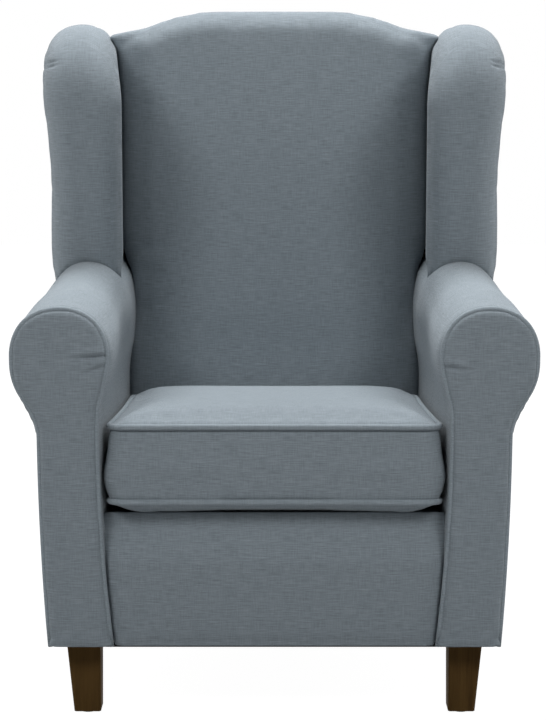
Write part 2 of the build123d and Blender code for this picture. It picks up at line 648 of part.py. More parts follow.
# Wing pads: foam and fabric round the wing boards, rolled at nose and top, cut to stand on the arms
def wing_form(gap=0.0):
    """Whole padded wing, rolled at nose and top, grown inwards and upwards by a gap."""
    section = wing_sketch(Plane.YZ.offset(WING_THROAT / 2 - WING_ROUNDING), -gap)
    with BuildPart() as form:
        extrude(section, amount=HALF - WING_THROAT / 2 + WING_ROUNDING, dir=(1, 0, 0))
        split(bisect_by=wing_inner_plane(gap), keep=Keep.BOTTOM)
        split(bisect_by=outside_plane(), keep=Keep.BOTTOM)
        sides = form.faces().sort_by(Axis.X)
        rims = sides[0].edges() + sides[-1].edges()
        rolled = rims.filter_by(
            lambda e: e.center().Z > WING_BOTTOM + 1 and e.center().Y < back_y(FRAME_REAR, e.center().Z) - 1
        )
        fillet(rolled, radius=WING_ROUNDING)
    return form.part


with BuildPart() as wing_pad:
    add(wing_form())
    add(arm_room, mode=Mode.SUBTRACT)
    add(frame_zone.part, mode=Mode.SUBTRACT)
    add(arm_boards_room.part, mode=Mode.SUBTRACT)
    add(panel_room.part, mode=Mode.SUBTRACT)

# Back pad: crowned both ways, serpentine at the top, rounded at the edges and fitted between
# the wings, the arms and the deck
pad_top = up_back(OVERALL_HEIGHT, BACK_EDGE)
shoulder = up_back(BACK_SHOULDER, BACK_EDGE)
pad_bottom = up_back(0, 0)
pad_half_width = WING_THROAT / 2 + WING_ROUNDING
crest_flat = BACK_CREST_FLAT / 2
crest_reach = pad_half_width + BACK_CREST_REACH
crown_middle = up_back((OVERALL_HEIGHT + DECK_FRONT_HEIGHT) / 2, 0)
crown_half = up_back((OVERALL_HEIGHT - DECK_FRONT_HEIGHT) / 2, 0)
crown_radius = (pad_half_width**2 + BACK_CROWN_SIDE**2) / (2 * BACK_CROWN_SIDE)
crown_turn = 40.0  # degrees of the turned crown, more than the pad's width takes
crown_axis = Axis(back_plane(crown_radius).origin, back_plane(0).y_dir)
crown_start = radians(crown_turn / 2)
crown_out = back_plane(0).z_dir * cos(crown_start) - back_plane(0).x_dir * sin(crown_start)
crown_plane = Plane(crown_axis.position, x_dir=crown_out, z_dir=crown_out.cross(back_plane(0).y_dir))
with BuildPart() as back_crown:
    with BuildSketch(crown_plane):
        with BuildLine():
            fallen = crown_radius - 4 * BACK_CROWN_UP  # at twice the pad's half height
            rear = crown_radius - 2 * BACK_DEPTH
            ThreePointArc(
                (fallen, crown_middle - 2 * crown_half),
                (crown_radius, crown_middle),
                (fallen, crown_middle + 2 * crown_half),
            )
            Polyline(
                (fallen, crown_middle + 2 * crown_half),
                (rear, crown_middle + 2 * crown_half),
                (rear, crown_middle - 2 * crown_half),
                (fallen, crown_middle - 2 * crown_half),
            )
        make_face()
    revolve(axis=crown_axis, revolution_arc=crown_turn)



def back_outline(bottom):
    """Outline of the back under its serpentine crest, on the rear plane of the frame."""
    with BuildSketch(back_plane(FRAME_REAR)) as outline:
        with BuildLine():
            level_s((-crest_reach, shoulder), (-crest_flat, pad_top))
            Line((-crest_flat, pad_top), (crest_flat, pad_top))
            level_s((crest_flat, pad_top), (crest_reach, shoulder))
            Line((crest_reach, shoulder), (crest_reach, bottom))
            Line((crest_reach, bottom), (-crest_reach, bottom))
            Line((-crest_reach, bottom), (-crest_reach, shoulder))
        make_face()
    return outline.sketch


wing_room = wing_form(SOFT_GAP)  # the wing and its clearance
ear_bottom = up_back(WING_TOP - 1.2 * WING_ROUNDING, FRAME_REAR)
with BuildPart() as back_ears:
    extrude(back_outline(ear_bottom), amount=FRAME_REAR - BACK_EDGE, dir=back_plane(0).z_dir)
    add(wing_room, mode=Mode.SUBTRACT)
    mirror(wing_room, about=Plane.YZ, mode=Mode.SUBTRACT)

wing_side = wing_inner_plane(SOFT_GAP)
other_wing_side = Plane(
    (-wing_side.origin.X, wing_side.origin.Y, 0), x_dir=(0, 0, 1), z_dir=(cos(SPLAY), sin(SPLAY), 0)
)
cavity_end = up_back(POST_TOP, FRAME_FRONT) + SOFT_GAP
cavity_top = crest_top + SOFT_GAP
with BuildPart() as back_cavity:
    with BuildSketch(back_plane(2 * FRAME_REAR)):
        with BuildLine():
            level_s((-FRAME_HALF, cavity_end), (0, cavity_top))
            level_s((0, cavity_top), (FRAME_HALF, cavity_end))
            Line((FRAME_HALF, cavity_end), (FRAME_HALF, pad_bottom - FAR))
            Line((FRAME_HALF, pad_bottom - FAR), (-FRAME_HALF, pad_bottom - FAR))
            Line((-FRAME_HALF, pad_bottom - FAR), (-FRAME_HALF, cavity_end))
        make_face()
    extrude(amount=2 * FRAME_REAR - zone_front)

with BuildPart() as back_pad:
    extrude(back_outline(pad_bottom), amount=FRAME_REAR + BACK_PAD, dir=back_plane(0).z_dir)
    add(back_crown.part, mode=Mode.INTERSECT)
    split(bisect_by=wing_side, keep=Keep.TOP)
    split(bisect_by=other_wing_side, keep=Keep.TOP)
    shoulders = back_pad.edges().filter_by(
        lambda e: abs(e.center().X) > WING_THROAT / 2 and e.center().Z > BACK_SHOULDER - BACK_EDGE
    )
    fillet(shoulders, radius=1.2 * BACK_EDGE)
    pad_front = back_pad.faces().filter_by(GeomType.PLANE, reverse=True).sort_by(SortBy.AREA)[-1]
    fillet(pad_front.edges().sort_by(Axis.Z)[1:], radius=BACK_EDGE)
    add(back_ears.part)
    split(bisect_by=seat_plane.offset(SOFT_GAP), keep=Keep.TOP)
    add(arm_room, mode=Mode.SUBTRACT)
    mirror(arm_room, about=Plane.YZ, mode=Mode.SUBTRACT)
    add(back_cavity.part, mode=Mode.SUBTRACT)

# Seat deck: the padded platform under the loose cushion
with BuildPart() as seat_deck:
    with BuildSketch(Plane.YZ.offset(-FRAME_HALF)):
        with BuildLine():
            Polyline(
                (FRAME_FRONT_Y, seat_height(FRAME_FRONT_Y, DECK_THICKNESS)),
                (FRAME_FRONT_Y, seat_height(FRAME_FRONT_Y)),
                (REAR_Y, seat_height(REAR_Y)),
                (REAR_Y, seat_height(REAR_Y, DECK_THICKNESS)),
                close=True,
            )
        make_face()
    extrude(amount=FRAME_INSIDE)
    split(bisect_by=back_plane(FRAME_REAR), keep=Keep.TOP)
    add(arm_room, mode=Mode.SUBTRACT)
    mirror(arm_room, about=Plane.YZ, mode=Mode.SUBTRACT)

# Front apron: padded band under the cushion, between the arms
with BuildPart() as front_apron:
    with BuildSketch(Plane.XZ.offset(-FRAME_FRONT_Y)):
        with BuildLine():
            Polyline(
                (-FRAME_HALF, BASE_HEIGHT),
                (FRAME_HALF, BASE_HEIGHT),
                (FRAME_HALF, APRON_TOP),
                (-FRAME_HALF, APRON_TOP),
                close=True,
            )
        make_face()
    extrude(amount=FRAME_FRONT_Y - FRONT_Y - APRON_SETBACK)
    add(arm_room, mode=Mode.SUBTRACT)
    mirror(arm_room, about=Plane.YZ, mode=Mode.SUBTRACT)
    apron_front = front_apron.faces().sort_by(Axis.Y)[0]
    fillet(apron_front.edges().sort_by(Axis.Z)[1:], radius=APRON_EDGE)

# Outside back: one sheet behind the frame, its top following the wings and the serpentine
sheet_low = up_back(BASE_HEIGHT, BACK_DEPTH)
sheet_side = up_back(WING_TOP - WING_ROUNDING, FRAME_REAR)
sheet_wing = up_back(WING_TOP - BACK_PANEL_DROP, FRAME_REAR)
sheet_dip = (WING_THROAT / 2 + 0.6 * WING_ROUNDING, shoulder - BACK_PANEL_DROP)
sheet_top = pad_top - BACK_PANEL_DROP
sheet_foot_x = outside_x(BASE_HEIGHT)
sheet_side_x = outside_x(WING_TOP - WING_ROUNDING)
with BuildPart() as outside_back:
    with BuildSketch(back_plane(BACK_DEPTH)):
        with BuildLine():
            Line((0, sheet_low), (sheet_foot_x, sheet_low))
            Line((sheet_foot_x, sheet_low), (sheet_side_x, sheet_side))
            TangentArc((sheet_side_x, sheet_side), (sheet_side_x - WING_ROUNDING, sheet_wing), tangent=(0, 1))
            level_s(sheet_dip, (sheet_side_x - WING_ROUNDING, sheet_wing))
            level_s((crest_flat, sheet_top), sheet_dip)
            Line((crest_flat, sheet_top), (0, sheet_top))
            Line((0, sheet_top), (0, sheet_low))
        make_face()
        mirror(about=Plane.YZ)
    extrude(amount=PANEL_THICKNESS)

# Loose cushion: cover with its fibre wrap, foam core, piping round both seams, zip at the back
cushion_half = ARM_THROAT / 2 - CUSHION_SIDE_GAP
low_seam = SOFT_GAP + CUSHION_UNDER
high_seam = low_seam + CUSHION_BOXING
seam_height = seat_height(back_y(0, DECK_FRONT_HEIGHT), -low_seam)  # of the lower seam, at the back
rear_reach = back_y(BACK_CROWN_UP, seam_height) - FRONT_Y - CUSHION_REAR_GAP
cushion_front = CUSHION_SETBACK
cushion_rear = rear_reach / cos(PITCH)


def cushion_line(inset):
    """Outline of the cushion drawn in by an inset: bowed sides joined by tangent corner arcs."""
    corner = CUSHION_CORNER + inset / 4
    side = cushion_half - inset
    front = cushion_front + inset
    rear = cushion_rear - inset
    bow = radians(CUSHION_DRAW_IN)
    front_edge = TangentArc((corner - side, front), (side - corner, front), tangent=(cos(bow), sin(bow)))
    right_edge = TangentArc((side, front + corner), (side, rear - corner), tangent=(-sin(bow), cos(bow)))
    rear_edge = TangentArc((side - corner, rear), (corner - side, rear), tangent=(-cos(bow), -sin(bow)))
    left_edge = TangentArc((-side, rear - corner), (-side, front + corner), tangent=(sin(bow), -cos(bow)))
    TangentArc(front_edge @ 1, right_edge @ 0, tangent=front_edge % 1)
    TangentArc(right_edge @ 1, rear_edge @ 0, tangent=right_edge % 1)
    TangentArc(rear_edge @ 1, left_edge @ 0, tangent=rear_edge % 1)
    TangentArc(left_edge @ 1, front_edge @ 0, tangent=left_edge % 1)


def cushion_section(level, inset):
    """Section of the cushion at a level above the deck, filled."""
    with BuildSketch(seat_plane.offset(level)) as section:
        with BuildLine():
            cushion_line(inset)
        make_face()
    return section.sketch


def cushion_piping(level):
    """Cord round a seam of the cushion."""
    with BuildLine() as outline:
        cushion_line(CUSHION_PIPING_INSET)
    seam = seat_plane.offset(level) * outline.wire()
    with BuildPart() as cord:
        with BuildSketch(Plane(seam @ 0, z_dir=seam % 0)):
            Circle(CUSHION_PIPING_RADIUS)
        sweep(path=seam)
    return cord.part


foam_width = 2 * (cushion_half - FOAM_INSET)
foam_depth = cushion_rear - cushion_front - 2 * FOAM_INSET
foam_middle = (0, (cushion_front + cushion_rear) / 2)
with BuildPart() as cushion_foam:
    with BuildSketch(seat_plane.offset(low_seam)):
        with Locations(foam_middle):
            Rectangle(foam_width, foam_depth)
    extrude(amount=CUSHION_BOXING)

with BuildPart() as foam_room:
    with BuildSketch(seat_plane.offset(low_seam - SOFT_GAP)):
        with Locations(foam_middle):
            Rectangle(foam_width + 2 * SOFT_GAP, foam_depth + 2 * SOFT_GAP)
    extrude(amount=CUSHION_BOXING + 2 * SOFT_GAP)

zip_length = 2 * (cushion_half - ZIP_INSET)
zip_low = (low_seam + high_seam - ZIP_WIDTH) / 2
with BuildPart() as cushion_zip:
    with BuildSketch(seat_plane.offset(zip_low)):
        with Locations((0, cushion_rear)):
            Rectangle(zip_length, ZIP_THICKNESS)
    extrude(amount=ZIP_WIDTH)

with BuildPart() as zip_room:
    with BuildSketch(seat_plane.offset(zip_low - HOLE_GAP)):
        with Locations((0, cushion_rear - ZIP_THICKNESS / 2 - HOLE_GAP)):
            Rectangle(zip_length + 2 * HOLE_GAP, FOAM_INSET, align=(Align.CENTER, Align.MIN))
    extrude(amount=ZIP_WIDTH + 2 * HOLE_GAP)

seam_half = CUSHION_PIPING_RADIUS + HOLE_GAP  # half the height of the groove that holds a cord
groove = CUSHION_PIPING_INSET + seam_half
under_start = low_seam - seam_half
box_start = low_seam + seam_half
box_end = high_seam - seam_half
top_start = high_seam + seam_half
crown_rise = CUSHION_CROWN - seam_half
with BuildPart() as cushion_cover:
    loft(
        [
            cushion_section(SOFT_GAP, 3 * CUSHION_UNDER),
            cushion_section(SOFT_GAP + 0.3 * CUSHION_UNDER, 1.1 * CUSHION_UNDER),
            cushion_section(under_start, 0),
        ]
    )
    extrude(cushion_section(under_start, groove), amount=2 * seam_half, dir=seat_plane.z_dir)
    loft(
        [
            cushion_section(box_start, 0),
            cushion_section((box_start + box_end) / 2, -CUSHION_BULGE),
            cushion_section(box_end, 0),
        ]
    )
    extrude(cushion_section(box_end, groove), amount=2 * seam_half, dir=seat_plane.z_dir)
    loft(
        [
            cushion_section(top_start, 0),
            cushion_section(top_start + 0.5 * crown_rise, 0.11 * cushion_half),
            cushion_section(top_start + 0.84 * crown_rise, 0.3 * cushion_half),
            cushion_section(top_start + crown_rise, 0.56 * cushion_half),
        ]
    )
    add(foam_room.part, mode=Mode.SUBTRACT)
    add(zip_room.part, mode=Mode.SUBTRACT)

save(front_seat_rail_bored.part, "front_seat_rail")
save(rear_seat_rail_bored.part, "rear_seat_rail")
save_pair(side_seat_rail.part, "seat_rail")
save(corner_blocks.part, "corner_blocks")
save_pair(back_post.part, "back_post")
save(back_crest_rail.part, "back_crest_rail")
save(back_tack_rail.part, "back_tack_rail")
save_pair(arm_board.part, "arm_board")
save_pair(arm_rail.part, "arm_rail")
save_pair(wing_board.part, "wing_board")
save(seat_webbing.part, "seat_webbing")
save(back_webbing.part, "back_webbing")
save_pair(leg(front_leg_y), "front_leg")
save_pair(leg(rear_leg_y), "rear_leg")
save(leg_inserts.part, "leg_inserts")
save(leg_bolts.part, "leg_bolts")
save(leg_glides.part, "leg_glides")
save(dust_cover.part, "dust_cover")
save_pair(outside_panel.part, "outside_panel")
save_pair(arm_pad.part, "arm_pad")
save_pair(arm_facing.part, "arm_facing")
save_pair(facing_piping.part, "facing_piping")
save_pair(wing_pad.part, "wing_pad")
save(back_pad.part, "back_pad")
save(seat_deck.part, "seat_deck")
save(front_apron.part, "front_apron")
save(outside_back.part, "outside_back")
save(cushion_foam.part, "cushion_foam")
save(cushion_zip.part, "cushion_zip")
save(cushion_cover.part, "cushion_cover")
save(cushion_piping(low_seam), "cushion_low_piping")
save(cushion_piping(high_seam), "cushion_top_piping")
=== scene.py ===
import json
import math

import bpy
import numpy as np
from mathutils import Matrix, Vector

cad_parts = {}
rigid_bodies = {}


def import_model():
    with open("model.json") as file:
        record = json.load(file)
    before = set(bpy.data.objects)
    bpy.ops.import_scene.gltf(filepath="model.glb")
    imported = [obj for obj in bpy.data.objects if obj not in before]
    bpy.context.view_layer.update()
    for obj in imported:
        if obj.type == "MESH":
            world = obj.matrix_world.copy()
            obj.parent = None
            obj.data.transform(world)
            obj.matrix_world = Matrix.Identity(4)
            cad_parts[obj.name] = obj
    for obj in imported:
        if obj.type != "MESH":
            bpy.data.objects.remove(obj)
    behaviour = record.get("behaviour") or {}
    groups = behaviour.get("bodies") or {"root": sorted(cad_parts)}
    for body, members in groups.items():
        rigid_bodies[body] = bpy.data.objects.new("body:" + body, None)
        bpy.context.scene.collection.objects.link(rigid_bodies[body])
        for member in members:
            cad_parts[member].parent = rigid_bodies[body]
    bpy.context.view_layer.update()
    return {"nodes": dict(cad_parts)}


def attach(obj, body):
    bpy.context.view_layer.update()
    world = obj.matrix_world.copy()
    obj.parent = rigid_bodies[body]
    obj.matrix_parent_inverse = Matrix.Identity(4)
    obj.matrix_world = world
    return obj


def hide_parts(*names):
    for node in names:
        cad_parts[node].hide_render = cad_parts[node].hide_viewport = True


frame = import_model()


# Wooden frame: rails, posts, boards and corner blocks of planed beech, glued and dowelled.
# The covers hide all of it, so the solids stay as they are and only get their grain.
class Tone:
    """A value over a surface. Arithmetic on it adds Math nodes, and node() adds any other kind."""

    def __init__(self, tree, socket=None):
        self.tree = tree
        self.socket = socket

    def node(self, kind, settings, inputs, output=0):
        """Add a node: its settings are set first, then its sockets, with values or other tones."""
        made = self.tree.nodes.new(kind)
        for name, value in settings.items():
            setattr(made, name, value)
        for name, value in inputs.items():
            if isinstance(value, Tone):
                self.tree.links.new(value.socket, made.inputs[name])
            else:
                made.inputs[name].default_value = value
        return Tone(self.tree, made.outputs[output])

    def math(self, operation, first, second):
        return self.node("ShaderNodeMath", {"operation": operation}, {0: first, 1: second})

    def __add__(self, other):
        return self.math("ADD", self, other)

    def __sub__(self, other):
        return self.math("SUBTRACT", self, other)

    def __rsub__(self, other):
        return self.math("SUBTRACT", other, self)

    def __mul__(self, other):
        return self.math("MULTIPLY", self, other)

    __radd__ = __add__
    __rmul__ = __mul__

    def within(self, low, high):
        """This value as 0 at low and 1 at high, and kept between them."""
        sockets = {"Value": self, "From Min": low, "From Max": high}
        return self.node("ShaderNodeMapRange", {"clamp": True}, sockets)

    def tint(self, dark, light):
        """Colour between a dark and a light one, by this value."""
        # The Mix node's colour sockets share their names with others, so they go by number.
        sockets = {0: self, 6: dark, 7: light}
        return self.node("ShaderNodeMix", {"data_type": "RGBA"}, sockets, 2)

    def noise(self, place, spots, detail, roughness=0.5):
        """Soft noise with that many spots to the metre along each axis."""
        spread = self.node("ShaderNodeMapping", {}, {"Vector": place, "Scale": spots})
        sockets = {"Vector": spread, "Scale": 1.0, "Detail": detail, "Roughness": roughness}
        return self.node("ShaderNodeTexNoise", {}, sockets)

    def feed(self, shader, name):
        self.tree.links.new(self.socket, shader.inputs[name])

    def emboss(self, shader, distance, strength):
        """Raise the surface by this value, over a distance in metres."""
        sockets = {"Height": self, "Distance": distance, "Strength": strength}
        self.node("ShaderNodeBump", {}, sockets).feed(shader, "Normal")


OBJECT_PLACE = "Object"


def new_finish(name, coordinates, constants):
    """An empty finish: its material, its shader, a tone to add nodes with, and its coordinates."""
    material = bpy.data.materials.new(name)
    material.use_nodes = True
    shader = material.node_tree.nodes["Principled BSDF"]
    for socket, value in constants.items():
        shader.inputs[socket].default_value = value
    tone = Tone(material.node_tree)
    return material, shader, tone, tone.node("ShaderNodeTexCoord", {}, {}, coordinates)


def wood(name, dark, light, along, gloss):
    """Straight-grained wood with its fibres along one axis."""
    material, shader, tone, place = new_finish(name, OBJECT_PLACE, {"Specular IOR Level": gloss})
    fibres = [190.0, 190.0, 190.0]
    fibres[along] = 4.0
    figure = [38.0, 38.0, 38.0]
    figure[along] = 1.6
    fine = tone.noise(place, fibres, detail=5.0, roughness=0.7)
    broad = tone.noise(place, figure, detail=4.0, roughness=0.6)
    grain = (0.55 * broad + 0.45 * fine).within(0.3, 0.72)
    grain.tint(dark, light).feed(shader, "Base Color")
    (0.55 + 0.16 * fine).feed(shader, "Roughness")
    fine.emboss(shader, distance=0.0005, strength=0.35)
    return material


def dress(node, material):
    """Give a CAD node its finish."""
    slots = frame["nodes"][node].data.materials
    slots.clear()
    slots.append(material)


ACROSS, DEEP, UPRIGHT = range(3)  # the axes of the chair's width, depth and height
BEECH_DARK = (0.46, 0.30, 0.17, 1)
BEECH_LIGHT = (0.66, 0.48, 0.31, 1)
PLANED_GLOSS = 0.2
beech_across = wood("beech_across", BEECH_DARK, BEECH_LIGHT, ACROSS, PLANED_GLOSS)
beech_deep = wood("beech_deep", BEECH_DARK, BEECH_LIGHT, DEEP, PLANED_GLOSS)
beech_upright = wood("beech_upright", BEECH_DARK, BEECH_LIGHT, UPRIGHT, PLANED_GLOSS)
for node in ("front_seat_rail", "rear_seat_rail", "back_crest_rail", "back_tack_rail", "corner_blocks"):
    dress(node, beech_across)
for side in ("left", "right"):
    dress(f"{side}_seat_rail", beech_deep)
    dress(f"{side}_arm_rail", beech_deep)
    dress(f"{side}_back_post", beech_upright)
    dress(f"{side}_arm_board", beech_upright)
    dress(f"{side}_wing_board", beech_upright)


# Webbing: elastic straps stapled across the seat and the back, woven over and under on the seat.
# Black polyester with rubber threads that show as pale stripes along each strap.
STRAP_BLACK = (0.012, 0.012, 0.013, 1)
RUBBER_THREAD = (0.16, 0.14, 0.11, 1)


def webbing(name, along, across):
    """Strap cloth with stripes along one axis, close together across another."""
    material, shader, tone, place = new_finish(name, OBJECT_PLACE, {"Roughness": 0.85})
    ribs = [20.0, 20.0, 20.0]
    ribs[across] = 420.0
    ribs[along] = 6.0
    stripe = tone.noise(place, ribs, detail=1.0).within(0.45, 0.6)
    stripe.tint(STRAP_BLACK, RUBBER_THREAD).feed(shader, "Base Color")
    stripe.emboss(shader, distance=0.0008, strength=0.5)
    return material


dress("seat_webbing", webbing("seat_strap", along=DEEP, across=ACROSS))
dress("back_webbing", webbing("back_strap", along=ACROSS, across=UPRIGHT))


# Seat deck: a thin pad over the webbing, which the loose cushion lies on and hides, tacked to the seat
# rails.
# It is faced with the blue-grey linen darkened to about a third, as painted shade for the gap under the
# cushion's lip.
DECK_SHADE_DARK = (0.045, 0.055, 0.065, 1)
DECK_SHADE_LIGHT = (0.10, 0.118, 0.134, 1)
DECK_VOXEL = 0.007
WEAVE_PLACE = "UV"
MERGE_DISTANCE = 0.00002


def linen(name, dark, light, coordinates=WEAVE_PLACE):
    """Plain two-tone weave with slubs both ways, at its real scale."""
    constants = {"Sheen Weight": 0.12, "Sheen Roughness": 0.5, "Specular IOR Level": 0.2}
    material, shader, tone, place = new_finish(name, coordinates, constants)
    weft = tone.noise(place, (45, 720, 720), detail=2.0, roughness=0.6)
    warp = tone.noise(place, (720, 45, 45), detail=2.0, roughness=0.6)
    slubs = tone.noise(place, (14, 420, 420), detail=1.0).within(0.60, 0.80)
    ends = tone.noise(place, (420, 14, 14), detail=1.0).within(0.64, 0.84)
    fuzz = tone.noise(place, (1500, 1500, 1500), detail=1.0)
    thread = 0.54 * weft + 0.28 * warp + 0.18 * fuzz
    mottle = thread.within(0.34, 0.66) * 0.80 + 0.26 * slubs + 0.14 * ends
    mottle.tint(dark, light).feed(shader, "Base Color")
    (0.84 + 0.12 * weft).feed(shader, "Roughness")
    crossing = {"Vector": place, "Scale": 345.0, "Distortion": 1.5, "Detail": 1.0}
    picks = tone.node("ShaderNodeTexWave", {"bands_direction": "X"}, crossing, "Fac")
    rows = tone.node("ShaderNodeTexWave", {"bands_direction": "Y"}, crossing, "Fac")
    relief = 0.5 * picks + 0.5 * rows + 0.8 * weft + 0.6 * warp
    relief.emboss(shader, distance=0.0005, strength=0.5)
    return material


def select_only(piece):
    bpy.ops.object.select_all(action="DESELECT")
    piece.select_set(True)
    bpy.context.view_layer.objects.active = piece


def finish_with(piece, kind, settings):
    """Add a modifier and apply it."""
    select_only(piece)
    modifier = piece.modifiers.new(kind.title(), kind)
    for name, value in settings.items():
        setattr(modifier, name, value)
    bpy.ops.object.modifier_apply(modifier=modifier.name)


def in_edit_mode(piece, step):
    """Run a mesh operator on all of a piece."""
    select_only(piece)
    bpy.ops.object.mode_set(mode="EDIT")
    bpy.ops.mesh.select_all(action="SELECT")
    step()
    bpy.ops.object.mode_set(mode="OBJECT")


def solid_copy(node, name):
    """A new piece with the mesh of a CAD node, its loose triangles merged."""
    piece = bpy.data.objects.new(name, frame["nodes"][node].data.copy())
    bpy.context.scene.collection.objects.link(piece)
    piece.data.materials.clear()
    in_edit_mode(piece, lambda: bpy.ops.mesh.remove_doubles(threshold=MERGE_DISTANCE))
    return piece


def ease(piece, voxel, passes):
    """Remesh a piece in small voxels and round its edges, more with each pass."""
    finish_with(piece, "REMESH", {"mode": "VOXEL", "voxel_size": voxel})
    finish_with(piece, "SMOOTH", {"factor": 0.5, "iterations": passes})


def divide(piece):
    """Divide a piece's faces once more."""
    finish_with(piece, "SUBSURF", {"levels": 1, "render_levels": 1})


def upholstered(piece, material, node, body="chair"):
    """Dress a finished cover, its weave laid on from six sides, and let it stand for its CAD node."""
    in_edit_mode(piece, lambda: bpy.ops.uv.cube_project(cube_size=1.0))
    piece.data.materials.append(material)
    piece.data.shade_smooth()
    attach(piece, body)
    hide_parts(node)


# Painted shade: the deck's cloth is the linen's weave in colours darkened to about a third, for the shaded
# gap under the cushion.
deck_painted_shade = linen("deck_linen_painted_shade", DECK_SHADE_DARK, DECK_SHADE_LIGHT)
deck = solid_copy("seat_deck", "deck_cover")
ease(deck, DECK_VOXEL, passes=6)
divide(deck)
upholstered(deck, deck_painted_shade, node="seat_deck")


# Apron: a band of blue-grey linen over wadding on the front rail, tacked along the rail.
# It stands a little higher than its solid and thins towards the top, under the cushion's lip.
SLATE = (0.138, 0.165, 0.186, 1)
PALE_THREAD = (0.272, 0.315, 0.347, 1)
APRON_VOXEL = 0.005
APRON_SWELL = 0.003
APRON_WIDENING = 1.012
APRON_LIFT = 0.011
APRON_THINNING = 0.7
APRON_REAR = -0.361  # the depth that its top is drawn back to
SWELL_STEPS = 20
TINY = 1e-9


def points_of(piece, kind="co"):
    """The places or the normals of a piece's points, a row each."""
    values = np.empty(3 * len(piece.data.vertices), np.float32)
    piece.data.vertices.foreach_get(kind, values)
    return values.reshape(-1, 3)


def set_points(piece, points):
    piece.data.vertices.foreach_set("co", np.ascontiguousarray(points, np.float32).ravel())
    piece.data.update()


def rise(value, low, high):
    """Smooth step from 0 at low to 1 at high."""
    share = np.clip((value - low) / (high - low), 0, 1)
    return share * share * (3 - 2 * share)


def swell(piece, cap, give=0.0):
    """Blow a cover up as cloth: no point moves further than the cap, or sinks in by more than the give."""
    rest = points_of(piece)
    normal = points_of(piece, "normal")
    select_only(piece)
    cloth = piece.modifiers.new("Cloth", "CLOTH")
    cloth.settings.quality = 2
    cloth.settings.mass = 0.02
    cloth.settings.tension_stiffness = 12
    cloth.settings.compression_stiffness = 12
    cloth.settings.bending_stiffness = 0.3
    cloth.settings.use_pressure = True
    cloth.settings.uniform_pressure_force = 4.0
    cloth.settings.effector_weights.gravity = 0
    for step in range(1, SWELL_STEPS + 1):
        bpy.context.scene.frame_set(step)
    bpy.ops.object.modifier_apply(modifier=cloth.name)
    bpy.context.scene.frame_set(1)
    moved = points_of(piece) - rest
    length = np.maximum(np.linalg.norm(moved, axis=1), TINY)
    moved *= np.minimum(1, cap / length)[:, None]
    sunk = np.minimum((moved * normal).sum(1) + give, 0)
    set_points(piece, rest + moved - normal * sunk[:, None])


def pad_cover(node, name, voxel, cap, passes=6):
    """Cover of a foam pad: remeshed, eased at its edges, swelled, then divided once more."""
    piece = solid_copy(node, name)
    ease(piece, voxel, passes)
    swell(piece, cap)
    divide(piece)
    return piece


fabric = linen("blue_grey_linen", SLATE, PALE_THREAD)
apron = pad_cover("front_apron", "apron_cover", APRON_VOXEL, APRON_SWELL, passes=2)
points = points_of(apron)
points[:, ACROSS] *= APRON_WIDENING
points[:, UPRIGHT] += APRON_LIFT * rise(points[:, UPRIGHT], 0.24, 0.298)
thickness = 1 - APRON_THINNING * rise(points[:, UPRIGHT], 0.235, 0.295)
points[:, DEEP] = APRON_REAR + (points[:, DEEP] - APRON_REAR) * thickness
set_points(apron, points)
upholstered(apron, fabric, node="front_apron")


# Arm pads: foam wrapped over the arm boards and rails, covered in linen that is pulled down inside
# and out and tacked. The roll is widest at the scroll in front, and runs back under the wing.
ARM_VOXEL = 0.007
ARM_SWELL = 0.004
TOP_WADDING = 0.003
REAR_WADDING = 0.005
SIDE_WADDING = 0.004
SCROLL_REACH = 0.010  # of the scroll, further in over the seat
SCROLL_LIFT = 0.004
FOOT_LIFT = 0.0025
REAR_REACH = 0.005  # of the inner top edge, further out beside the back


def sculpt(piece, depth):
    """Move each point of a piece along its normal by depth(x, y, z), in metres."""
    points = points_of(piece)
    set_points(piece, points + points_of(piece, "normal") * depth(*points.T)[:, None])


def arm_fullness(x, y, z):
    """Extra wadding along the top of the roll, and inside the arm beside the back."""
    along_roll = TOP_WADDING * rise(y, -0.37, -0.25) + REAR_WADDING * rise(y, -0.22, -0.06)
    before_wing = 1 - rise(y, 0.0, 0.1)
    on_top = rise(z, 0.50, 0.58)
    below_top = rise(z, 0.43, 0.50) * (1 - rise(z, 0.58, 0.63))
    beside_back = rise(y, -0.10, 0.05) * (1 - rise(x, 0.26, 0.30))
    return along_roll * before_wing * on_top + SIDE_WADDING * below_top * beside_back


def widen_scroll(piece):
    """Carry the scroll further in and a little higher, dying out along the arm.

    The foot is lifted a little, and the inner top edge eases out beside the back.
    """
    points = points_of(piece)
    x, y, z = points.T.copy()
    near_front = 1 - rise(y, -0.34, -0.10)
    near_back = rise(y, -0.12, 0.02)
    scroll_side = rise(z, 0.465, 0.555) * (1 - rise(x, 0.27, 0.38))
    inner_top = rise(z, 0.55, 0.60) * (1 - rise(x, 0.26, 0.33))
    foot = 1 - rise(z, 0.110, 0.150)
    points[:, ACROSS] += REAR_REACH * inner_top * near_back - SCROLL_REACH * scroll_side * near_front
    points[:, UPRIGHT] += SCROLL_LIFT * rise(z, 0.55, 0.605) * near_front + FOOT_LIFT * foot
    set_points(piece, points)


def mirrored(piece, name):
    """The same piece for the left side."""
    other = bpy.data.objects.new(name, piece.data.copy())
    bpy.context.scene.collection.objects.link(other)
    other.data.transform(Matrix.Scale(-1, 4, (1, 0, 0)))
    in_edit_mode(other, bpy.ops.mesh.flip_normals)
    return other


right_arm = pad_cover("right_arm_pad", "right_arm_cover", ARM_VOXEL, ARM_SWELL)
sculpt(right_arm, arm_fullness)
widen_scroll(right_arm)
left_arm = mirrored(right_arm, "left_arm_cover")
upholstered(right_arm, fabric, node="right_arm_pad")
upholstered(left_arm, fabric, node="left_arm_pad")


